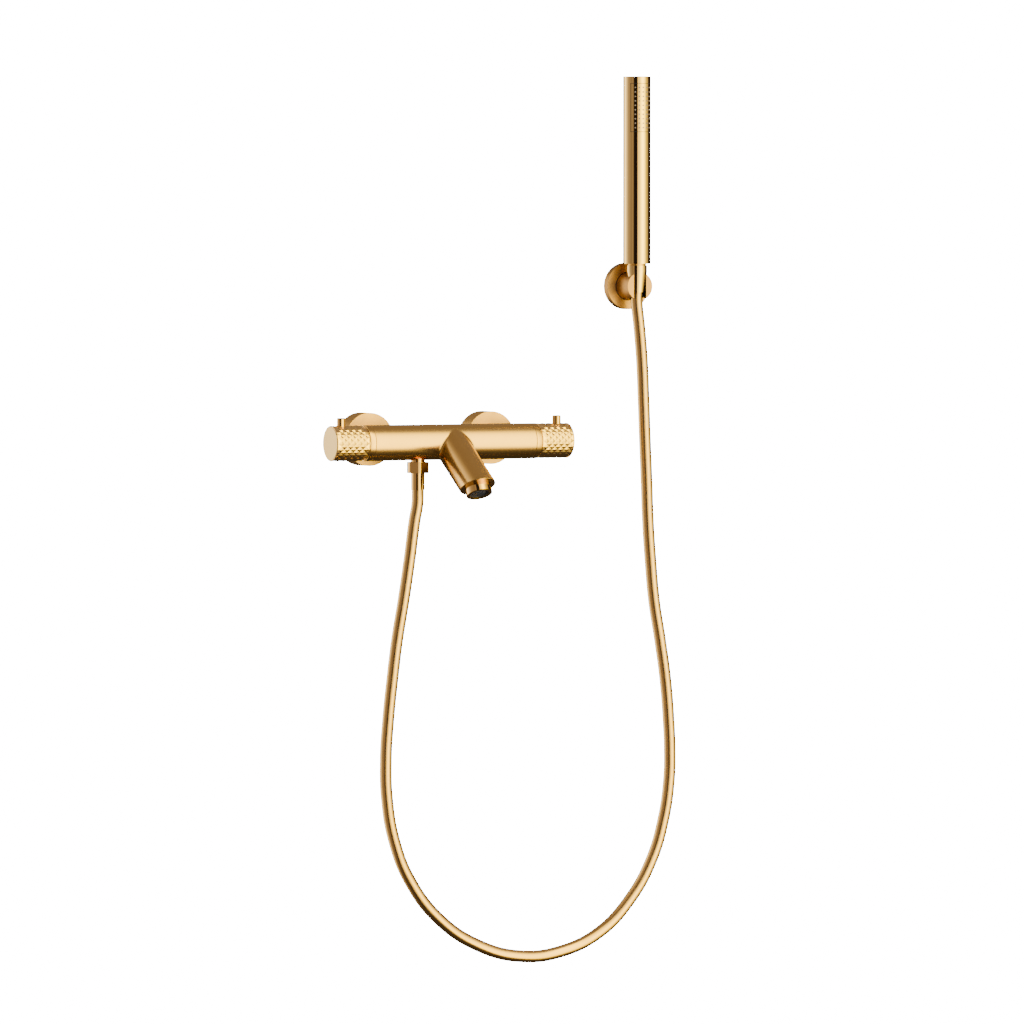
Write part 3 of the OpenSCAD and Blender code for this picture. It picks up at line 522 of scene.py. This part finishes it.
# Pipe thread on the two tails that go into the wall
THREAD_PITCH = 1.814 * MM
THREAD_DEEP = 1.0 * MM
THREAD_STEPS = 28
TAIL_R = 10.4775 * MM


def threaded_tail(side, cad_node):
    """A copy of the union with a helical groove cut along its tail."""
    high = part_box(cad_node)[1]
    bm = bmesh.new()
    bm.from_mesh(nodes[cad_node].data)
    bmesh.ops.remove_doubles(bm, verts=bm.verts, dist=MERGE)
    union = finished(cad_node + "_threaded", bm, None)
    x, start, end = side * INLET_X, high.y - 0.2 * MM, 0.5 * MM
    turns = int((start - end) / THREAD_PITCH)
    cut = bmesh.new()
    half = 0.44 * THREAD_PITCH
    corners = [
        cut.verts.new((x + r, start + along, 0))
        for r, along in ((TAIL_R + 0.15 * MM, -half), (TAIL_R - THREAD_DEEP, 0), (TAIL_R + 0.15 * MM, half))
    ]
    face = cut.faces.new(corners)
    bmesh.ops.spin(
        cut, geom=[face], cent=(x, 0, 0), axis=(0, 1, 0), dvec=(0, -THREAD_PITCH / THREAD_STEPS, 0),
        angle=2 * math.pi * turns, steps=THREAD_STEPS * turns, use_merge=False,
    )
    bmesh.ops.recalc_face_normals(cut, faces=cut.faces)
    cut_away(union, "thread_groove", cut)
    # The cut leaves slivers where the groove runs out, so they are merged and closed
    bm = bmesh.new()
    bm.from_mesh(union.data)
    bmesh.ops.remove_doubles(bm, verts=bm.verts, dist=5e-6)
    bmesh.ops.dissolve_degenerate(bm, edges=bm.edges, dist=MERGE)
    bmesh.ops.holes_fill(bm, edges=[e for e in bm.edges if e.is_boundary])
    bmesh.ops.recalc_face_normals(bm, faces=bm.faces)
    bm.to_mesh(union.data)
    bm.free()
    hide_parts(cad_node)
    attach(union, "mixer")
    return creased(union, 35)


unions = [threaded_tail(-1, "s_union_left"), threaded_tail(1, "s_union_right")]

# A flat gasket shows as a dark line all round the spray plate
plate_low, plate_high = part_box("spray_plate")
tube_low, tube_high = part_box("handset_tube")
HAND_X = (tube_low.x + tube_high.x) / 2
HAND_Y = (tube_low.y + tube_high.y) / 2
TUBE_R = (tube_high.x - tube_low.x) / 2
PLATE_HALF = math.radians(55)


GASKET_WIDE = 0.45 * MM
GASKET_SIDE = 0.014  # half its width beside the plate, as an angle
GASKET_THICK, GASKET_SUNK = 0.46 * MM, 0.4 * MM


def gasket_strip(bm, start, end, low, high):
    """A strip that wraps the tube between two angles from the front, just proud of it."""
    out = Matrix.Rotation(start, 3, "Z") @ Vector((0, -1, 0))
    first = Vector((HAND_X, HAND_Y, 0)) + out * (TUBE_R - GASKET_SUNK)
    verts = [
        bm.verts.new(first + out * o + Vector((0, 0, z)))
        for o, z in ((0, low), (GASKET_THICK, low), (GASKET_THICK, high), (0, high))
    ]
    face = bm.faces.new(verts)
    steps = max(2, round((end - start) / math.radians(2.5)))
    bmesh.ops.spin(
        bm, geom=[face], cent=(HAND_X, HAND_Y, 0), axis=(0, 0, 1), angle=end - start, steps=steps,
        use_merge=False,
    )


bm = bmesh.new()
for low, high in ((plate_low.z - GASKET_WIDE, plate_low.z), (plate_high.z, plate_high.z + GASKET_WIDE)):
    gasket_strip(bm, -PLATE_HALF - 0.02, PLATE_HALF + 0.02, low, high)
for way in (-1, 1):
    edge = way * PLATE_HALF
    gasket_strip(bm, edge - GASKET_SIDE, edge + GASKET_SIDE, plate_low.z, plate_high.z)
gasket = finished("spray_plate_gasket", bm, "handset", smooth=False)


# ---------------------------------------------------------------- finishes
DRIFT_PER_M = 28.0  # colour drifts over about 36 mm
MARK_DEEP, SPECKLE_DEEP = 0.02 * MM, 0.03 * MM


def colour(text, alpha=1.0):
    """A linear colour from an sRGB hex value."""
    parts = [int(text[i : i + 2], 16) / 255 for i in (1, 3, 5)]
    return [c / 12.92 if c <= 0.04045 else ((c + 0.055) / 1.055) ** 2.4 for c in parts] + [alpha]


def add(tree, kind, inputs=None, **settings):
    """Adds a node, with its settings, and its inputs set or linked."""
    node = tree.nodes.new(kind)
    for key, value in settings.items():
        setattr(node, key, value)
    for key, value in (inputs or {}).items():
        socket = node.inputs[key]
        if isinstance(value, bpy.types.NodeSocket):
            tree.links.new(value, socket)
        else:
            socket.default_value = value
    return node


def bare_material(name):
    """A material with an empty node tree, and that tree."""
    material = bpy.data.materials.new(name)
    material.use_nodes = True
    material.node_tree.nodes.clear()
    return material, material.node_tree


def mixed_colour(tree, factor, a, b):
    """A mix of two colours, by a number or a socket."""
    mix = add(tree, "ShaderNodeMix", {"Factor": factor, "A": a, "B": b}, data_type="RGBA")
    return [o for o in mix.outputs if o.type == "RGBA"][0]


def metal(name, base, roughness, spread, along, grain_mm, bump, soften_mm=0.25, tint=0.05):
    """A metal: colour that drifts slightly, brush marks that run one way, and edges that catch light.

    spread is how far the roughness wanders with the marks, and along is how many of its own widths a
    brush mark runs on each axis. tint is how far the colour drifts."""
    material, tree = bare_material(name)
    place = add(tree, "ShaderNodeTexCoord").outputs["Object"]
    stretch = add(
        tree, "ShaderNodeMapping",
        {"Vector": place, "Scale": [1 / (grain_mm * MM * a) for a in along]},
    ).outputs["Vector"]
    marks = add(
        tree, "ShaderNodeTexNoise", {"Vector": stretch, "Scale": 1.0, "Detail": 3.0, "Roughness": 0.6},
    ).outputs["Fac"]
    drift = add(
        tree, "ShaderNodeTexNoise", {"Vector": place, "Scale": DRIFT_PER_M, "Detail": 2.0},
    ).outputs["Fac"]
    rough = add(
        tree, "ShaderNodeMapRange",
        {
            "Value": marks, "From Min": 0.3, "From Max": 0.7,
            "To Min": roughness - spread, "To Max": roughness + spread,
        },
    ).outputs["Result"]
    light = colour(base)
    dark = [c * (1 - 2 * tint) for c in light[:3]] + [1]
    tone = mixed_colour(tree, drift, dark, light)
    edge = add(tree, "ShaderNodeBevel", {"Radius": soften_mm * MM}, samples=4).outputs["Normal"]
    relief = add(
        tree, "ShaderNodeBump",
        {"Height": marks, "Strength": bump, "Distance": MARK_DEEP, "Normal": edge},
    ).outputs["Normal"]
    shader = add(
        tree, "ShaderNodeBsdfPrincipled",
        {"Base Color": tone, "Metallic": 1.0, "Roughness": rough, "Normal": relief},
    ).outputs["BSDF"]
    add(tree, "ShaderNodeOutputMaterial", {"Surface": shader})
    return material


def plain(name, base, roughness, speckle_mm, bump, depth=0.1, ior=1.45):
    """A moulded or ground surface with a fine speckle that is also its relief."""
    material, tree = bare_material(name)
    place = add(tree, "ShaderNodeTexCoord").outputs["Object"]
    speckle = add(
        tree, "ShaderNodeTexNoise", {"Vector": place, "Scale": 1 / (speckle_mm * MM), "Detail": 3.0},
    ).outputs["Fac"]
    light = colour(base)
    tone = mixed_colour(tree, speckle, [c * (1 - depth) for c in light[:3]] + [1], light)
    relief = add(
        tree, "ShaderNodeBump", {"Height": speckle, "Strength": bump, "Distance": SPECKLE_DEEP},
    ).outputs["Normal"]
    shader = add(
        tree, "ShaderNodeBsdfPrincipled",
        {"Base Color": tone, "Roughness": roughness, "Normal": relief, "IOR": ior},
    ).outputs["BSDF"]
    add(tree, "ShaderNodeOutputMaterial", {"Surface": shader})
    return material


# Which way the marks run. A lathe's or a belt's real marks are a few hundredths of a millimetre wide,
# too fine to show, so they are drawn 0.3 to 0.5 mm wide and 40 times as long, with very little relief.
ROUND_X = (1, 40, 40)
ROUND_Z = (40, 40, 1)
ROUND_Y = (40, 1, 40)
EVEN = (20, 20, 20)
# Cast brass, ground and belted, with a satin gold vapour coating: soft-edged reflections, deep gold in shade
satin_body = metal("satin_gold_pvd_on_cast_brass", "#d3ac6c", 0.25, 0.02, ROUND_X, 0.3, 0.05)
# The same coating over a lathe-turned ring: a touch crisper, so that the ring reads as its own piece
satin_collar = metal("turned_gold_trim_ring", "#d6af6e", 0.22, 0.02, ROUND_X, 0.3, 0.05)
# Drawn brass cups, belted round their axis: broad, dull bands with no sharp reflection
satin_flange = metal("brushed_gold_wall_cover", "#cba262", 0.42, 0.04, ROUND_Y, 0.35, 0.08)
# Turned brass with a brushed gold coating, its colour darkened to paint in the shade of the dark things the
# bracket reflects: matt, brown in shade, almost no mirror image
bracket_gold_painted_shade = metal("brushed_gold_bracket_painted_shade", "#a98250", 0.38, 0.05, ROUND_Y, 0.35, 0.1)
# Moulded black acetal in the bracket's seat and slot, near black with a faint waxy sheen; its black also
# stands as painted shade inside the slot
slot_liner_and_shade = plain("black_acetal_liner_and_painted_shade", "#0d0c0b", 0.5, 0.4, 0.1)
# Faced and belted end cap, seen flat on: pale and even, with a wide soft glow
satin_cap = metal("satin_gold_cap_face", "#ecd09c", 0.34, 0.02, ROUND_X, 0.35, 0.05)
# Buffed brass tube under a clear bright coating: a mirror, with dark and bright bands that run its length
polished = metal("polished_gold_pvd", "#f2d092", 0.08, 0.01, ROUND_Z, 0.5, 0.0)
# Small buffed and turned fittings: mirror bright, with a slight haze from the cutting tool
polished_small = metal("polished_gold_fittings", "#e6bd80", 0.09, 0.02, ROUND_Z, 0.3, 0.02)
# Rolled diamond knurl, coated bright: each facet flashes on its own, and the ridges are only just eased
knurled = metal("knurled_gold_pvd", "#f3cf96", 0.12, 0.02, ROUND_X, 0.4, 0.02, soften_mm=0.1)
# Metallised gold film under an extruded PVC sleeve: shines like metal, its highlights soft and milky
hose_gold = metal("gold_layered_pvc_hose", "#dcb578", 0.26, 0.02, EVEN, 0.5, 0.02)
# Free-cutting brass left as machined: yellow, with plain tool marks round the axis
raw_brass = metal("machined_brass", "#e3b466", 0.3, 0.05, ROUND_Y, 0.3, 0.15)
# Stainless steel, cold headed or wound: neutral grey with a fine drawn grain
steel = metal("stainless_steel_screw", "#c6c5c2", 0.28, 0.05, ROUND_Y, 0.3, 0.15)
# Spun copper capsule of the wax element: pink-orange, dulled by handling
copper = metal("copper_element", "#e69a6c", 0.3, 0.05, ROUND_X, 0.3, 0.15)
# Moulded EPDM rubber: black and almost without shine
rubber = plain("black_epdm_rubber", "#141414", 0.75, 0.4, 0.3)
# Moulded white acetal: off-white, waxy
acetal = plain("white_acetal", "#e4e4de", 0.45, 0.5, 0.15)
# Moulded glass-filled nylon: dark grey, with fibres that roughen its skin slightly
grey_nylon = plain("grey_glass_filled_nylon", "#3a3a3b", 0.4, 0.4, 0.2)
# Alumina discs, lapped flat: cream white with a smooth, hard gloss
ceramic = plain("lapped_alumina", "#efece4", 0.2, 0.6, 0.05)
# Moulded liquid silicone nozzles: dull tan dots that stand out from the mirror round them
silicone = plain("tan_silicone", "#7d715c", 0.5, 0.5, 0.15)
NODE_FINISH = {
    satin_collar: "body_collars",
    satin_flange: "wall_flange_left wall_flange_right",
    bracket_gold_painted_shade: "bracket_flange bracket_arm",
    satin_cap: "flow_knob_cap temp_knob_cap",
    polished: "handset_tube spray_plate cone_nut",
    polished_small: "hose_nut hose_ferrule aerator_housing flow_button temp_button swivel_ferrule"
    " union_nut_left union_nut_right outlet_nipple",
    knurled: "flow_knob temp_knob",
    hose_gold: "hose",
    satin_body: "mixer_body",
    raw_brass: "inlet_tail_left inlet_tail_right s_union_left s_union_right flow_cartridge"
    " flow_cartridge_nut flow_spindle thermostat_cartridge thermostat_nut temp_spindle handset_inlet",
    rubber: "inlet_filters aerator_washer hose_washer cone_washer",
    acetal: "check_valves flow_stop_ring temp_stop_ring thermostat_shuttle wall_plugs",
    grey_nylon: "flow_cartridge_base thermostat_base aerator_insert handset_core",
    ceramic: "flow_disc_fixed flow_disc_moving",
    steel: "flow_knob_screw temp_knob_screw flow_button_spring temp_button_spring"
    " thermostat_spring bracket_plate bracket_grub_screw bracket_screws",
    copper: "thermostat_element",
    silicone: "nozzle_mat",
}
for finish, names in NODE_FINISH.items():
    for name in names.split():
        obj = nodes[name]
        obj.data.materials.clear()
        obj.data.materials.append(finish)
arm.data.materials.append(bracket_gold_painted_shade)
arm.data.materials.append(slot_liner_and_shade)
for obj, finish in (
    (cast_body, satin_body), (flow_sleeve, knurled), (temp_sleeve, knurled), (hose, hose_gold),
    (trim_rings[0], satin_collar), (trim_rings[1], satin_collar), (screen, rubber), (mesh_grid, grey_nylon),
    (arm_root_shade_ring, rubber), (gasket, rubber), (unions[0], raw_brass), (unions[1], raw_brass),
):
    obj.data.materials.clear()
    obj.data.materials.append(finish)

# ---------------------------------------------------------------- floor, light and surroundings
FLOOR_AT = (0.1, -0.2, -0.86)
FLOOR_HALF = 1.3
bm = bmesh.new()
bmesh.ops.create_grid(bm, x_segments=1, y_segments=1, size=FLOOR_HALF, matrix=Matrix.Translation(FLOOR_AT))
floor = link("floor", as_mesh("floor", bm))
floor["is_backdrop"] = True
# Matt painted board: pale and shadowless, left out of the metal's reflections so that the lamps shape those
floor.data.materials.append(plain("pale_floor", "#f2f0ec", 0.6, 3.0, 0.0, depth=0.02))
floor.visible_glossy = False

# The studio's brightness at each bearing, in degrees to the right of the line from the part to the camera
CAMERA_BEARING = math.degrees(math.atan2(-CAMERA_ALONG[1], -CAMERA_ALONG[0]))
DARKEST, SPAN = 0.01, 1500
BEARINGS = (
    (-180, 0.06), (-139, 0.04), (-129, 2.8), (-118, 5.0), (-104, 2.6), (-90, 1.3), (-76, 0.62),
    (-58, 0.46), (-42, 0.36), (-31, 0.6), (-25, 0.04), (-12, 0.015), (0, 0.015), (8, 2.2),
    (22, 3.2), (34, 6.5), (48, 10.5), (60, 8.5), (72, 4.6), (82, 1.9), (96, 1.0), (104, 0.8),
    (112, 0.04), (146, 0.04), (180, 0.06),
)
OVERHEAD, BELOW, BACKDROP = 0.4, 0.07, 20.0
CARD_WAY, CARD_EDGE = (-0.5, 0, 0.86), (0.6, 0.84)
FLOOR_EDGE = (-0.46, -0.93)
# What metal sees is warm: the key lamps are amber and the dim parts of the room tan.
# Diffuse light stays neutral.
AMBER, TAN, CREAM = (1.0, 0.79, 0.06), (1.0, 0.76, 0.5), (1.0, 0.84, 0.5)
TINTS = (
    (-180, TAN), (-135, CREAM), (-100, CREAM), (-60, TAN), (5, TAN),
    (20, AMBER), (92, AMBER), (108, TAN), (180, TAN),
)


def level_of(light):
    """A brightness as a share of the range from darkest to brightest, on a scale of ratios."""
    return math.log(light / DARKEST) / math.log(SPAN)


def bearing_ramp(tree, share, stops_at):
    """A colour that changes with the bearing, from (degrees, colour) pairs."""
    ramp = add(tree, "ShaderNodeValToRGB", {"Fac": share})
    ramp.color_ramp.interpolation = "LINEAR"
    stops = ramp.color_ramp.elements
    while len(stops) > 1:
        stops.remove(stops[0])
    for i, (degrees, value) in enumerate(stops_at):
        stop = stops[0] if i == 0 else stops.new((degrees + 180) / 360)
        stop.position = (degrees + 180) / 360
        stop.color = [*value, 1]
    return ramp.outputs["Color"]


world = bpy.data.worlds.new("studio")
bpy.context.scene.world = world
world.use_nodes = True
tree = world.node_tree
tree.nodes.clear()
rays = add(tree, "ShaderNodeLightPath").outputs
way = add(tree, "ShaderNodeTexCoord").outputs["Generated"]
facing = add(
    tree, "ShaderNodeMapping", {"Vector": way, "Rotation": (0, 0, -math.radians(CAMERA_BEARING))},
).outputs["Vector"]
parts = add(tree, "ShaderNodeSeparateXYZ", {"Vector": facing})
bearing = add(
    tree, "ShaderNodeMath", {0: parts.outputs["Y"], 1: parts.outputs["X"]}, operation="ARCTAN2",
).outputs["Value"]
share = add(
    tree, "ShaderNodeMapRange",
    {"Value": bearing, "From Min": -math.pi, "From Max": math.pi, "To Min": 0.0, "To Max": 1.0},
).outputs["Result"]
level = bearing_ramp(tree, share, [(degrees, [level_of(light)] * 3) for degrees, light in BEARINGS])
tint = bearing_ramp(tree, share, TINTS)
# The overhead card leans back, so that it also stands over the wall side
lean = add(
    tree, "ShaderNodeVectorMath", {0: facing, 1: CARD_WAY}, operation="DOT_PRODUCT",
).outputs["Value"]
for height, (first, last), light in ((lean, CARD_EDGE, OVERHEAD), (parts.outputs["Z"], FLOOR_EDGE, BELOW)):
    share = add(
        tree, "ShaderNodeMapRange",
        {"Value": height, "From Min": first, "From Max": last, "To Min": 0.0, "To Max": 1.0},
        interpolation_type="SMOOTHSTEP",
    ).outputs["Result"]
    level = add(
        tree, "ShaderNodeMix", {"Factor": share, "A": level, "B": level_of(light)}, data_type="FLOAT",
    ).outputs["Result"]
    tint = mixed_colour(tree, share, tint, (*TAN, 1))
light = add(tree, "ShaderNodeMath", {0: float(SPAN), 1: level}, operation="POWER").outputs["Value"]
light = add(tree, "ShaderNodeMath", {0: light, 1: DARKEST}, operation="MULTIPLY").outputs["Value"]
light = add(
    tree, "ShaderNodeMix", {"Factor": rays["Is Camera Ray"], "A": light, "B": BACKDROP}, data_type="FLOAT",
).outputs["Result"]
tint = mixed_colour(tree, rays["Is Glossy Ray"], (1, 1, 1, 1), tint)
back = add(tree, "ShaderNodeBackground", {"Color": tint, "Strength": light}).outputs["Background"]
add(tree, "ShaderNodeOutputWorld", {"Surface": back})

low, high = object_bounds()
